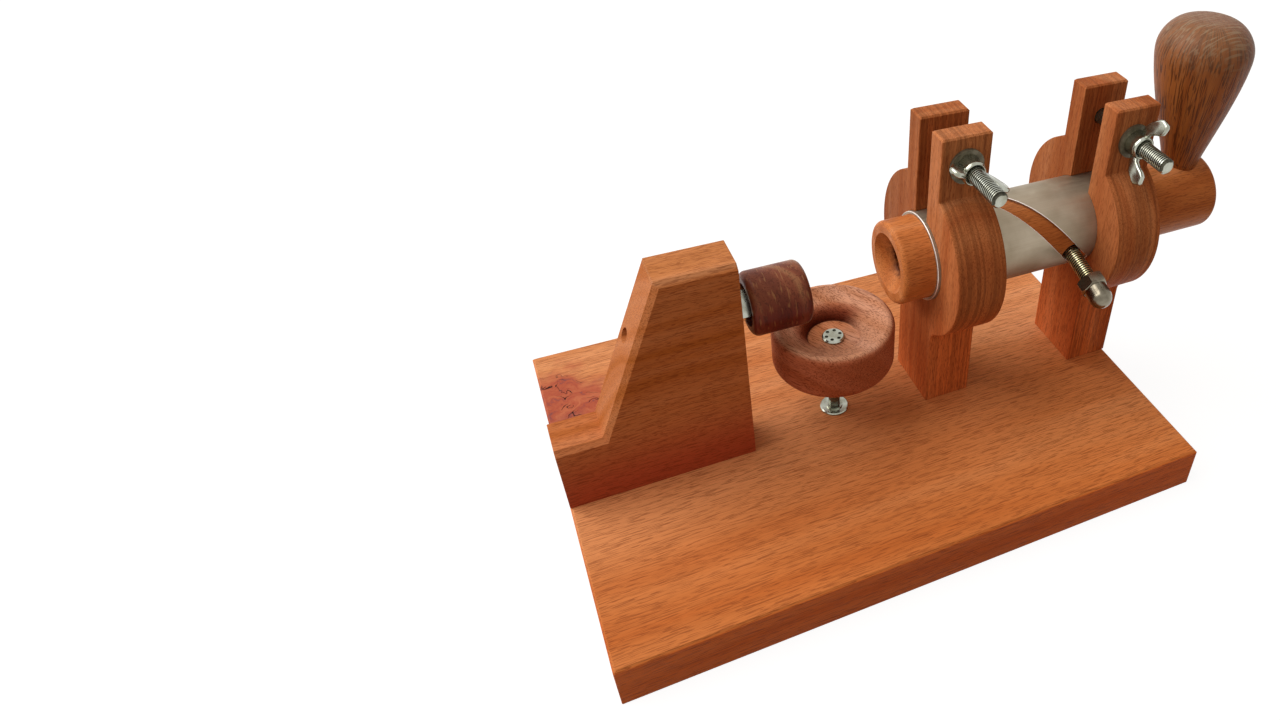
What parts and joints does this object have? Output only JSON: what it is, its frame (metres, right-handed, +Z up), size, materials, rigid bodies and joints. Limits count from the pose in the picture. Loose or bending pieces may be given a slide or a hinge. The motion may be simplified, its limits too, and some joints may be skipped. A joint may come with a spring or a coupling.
{
  "type": "nutcracker",
  "caption": "Wooden bench nutcracker: a handle turns a plunger that a slotted tube screws forward onto a nut, held in a dish against a round wooden anvil.",
  "frame": {"origin": "centre of the board's underside", "axes": "+X from the anvil towards the plunger's handle, +Z up, +Y towards the side the clamp bolts' heads are on"},
  "size_m": [0.365, 0.205, 0.21],
  "materials": {
    "board_wood": "oiled beech, satin",
    "beech": "oiled beech, satin",
    "dark_wood": "dark oiled hardwood",
    "handle_wood": "oiled, open grain",
    "tube_aluminium": "satin drawn tube",
    "zinc_steel": "zinc plated"
  },
  "bodies": {
    "frame": {"baseboard": "board_wood", "anvil_post": "beech", "post_screws": "zinc_steel", "bracket_screws": "zinc_steel", "dish_insert": "zinc_steel", "front_bracket": "beech", "rear_bracket": "beech", "guide_tube": "tube_aluminium", "front_clamp_bolt": "zinc_steel", "rear_clamp_bolt": "zinc_steel", "bolt_head_washers": "zinc_steel"},
    "lock_screw": {"handle_lock_screw": "zinc_steel"},
    "plunger": {"plunger": "beech", "guide_pin": "zinc_steel", "cap_nut": "zinc_steel", "handle": "handle_wood"},
    "anvil_washer": {"anvil_washer": "zinc_steel"},
    "anvil": {"anvil": "dark_wood", "anvil_stud": "zinc_steel", "anvil_nut": "zinc_steel"},
    "dish_washer": {"dish_washer": "zinc_steel"},
    "dish": {"dish_base": "beech", "dish_cup": "beech", "dish_bolt": "zinc_steel", "dish_nut": "zinc_steel"},
    "front_washer": {"front_wing_washer": "zinc_steel"},
    "front_wing": {"front_wing_nut": "zinc_steel"},
    "rear_washer": {"rear_wing_washer": "zinc_steel"},
    "rear_wing": {"rear_wing_nut": "zinc_steel"}
  },
  "joints": [
    {"name": "plunger_feed", "type": "slide", "parent": "frame", "child": "lock_screw", "axis": [1, 0, 0], "range_m": [-0.02342, 0.00413]},
    {"name": "plunger_turn", "type": "hinge", "parent": "lock_screw", "child": "plunger", "pos_m": [0.1, 0.003, 0.1115], "axis": [1, 0, 0], "range_deg": [-68, 12]},
    {"name": "anvil_reach", "type": "slide", "parent": "frame", "child": "anvil_washer", "axis": [1, 0, 0], "range_m": [0, 0.00625]},
    {"name": "anvil_turn", "type": "hinge", "parent": "anvil_washer", "child": "anvil", "pos_m": [-0.05, 0.003, 0.108], "axis": [1, 0, 0], "range_deg": [0, 1800.1]},
    {"name": "dish_lift", "type": "slide", "parent": "frame", "child": "dish_washer", "axis": [0, 0, 1], "range_m": [-0.01, 0.004]},
    {"name": "dish_turn", "type": "hinge", "parent": "dish_washer", "child": "dish", "pos_m": [-0.0113, 0.003, 0.05], "axis": [0, 0, 1], "range_deg": [-3600.1, 1440.1]},
    {"name": "front_wing_travel", "type": "slide", "parent": "frame", "child": "front_washer", "axis": [0, -1, 0], "range_m": [0, 0.00375]},
    {"name": "front_wing_turn", "type": "hinge", "parent": "front_washer", "child": "front_wing", "pos_m": [0.04795, -0.02, 0.1678], "axis": [0, -1, 0], "range_deg": [0, 1080.1]},
    {"name": "rear_wing_travel", "type": "slide", "parent": "frame", "child": "rear_washer", "axis": [0, -1, 0], "range_m": [0, 0.00375]},
    {"name": "rear_wing_turn", "type": "hinge", "parent": "rear_washer", "child": "rear_wing", "pos_m": [0.13725, -0.02, 0.1652], "axis": [0, -1, 0], "range_deg": [0, 1080.1]}
  ],
  "couplings": [
    {"joint": "plunger_feed", "follows": "plunger_turn", "m_per_rad": 0.019735},
    {"joint": "anvil_turn", "follows": "anvil_reach", "rad_per_m": 5026.5},
    {"joint": "dish_turn", "follows": "dish_lift", "rad_per_m": 6283.2},
    {"joint": "front_wing_turn", "follows": "front_wing_travel", "rad_per_m": 5026.5},
    {"joint": "rear_wing_turn", "follows": "rear_wing_travel", "rad_per_m": 5026.5}
  ]
}
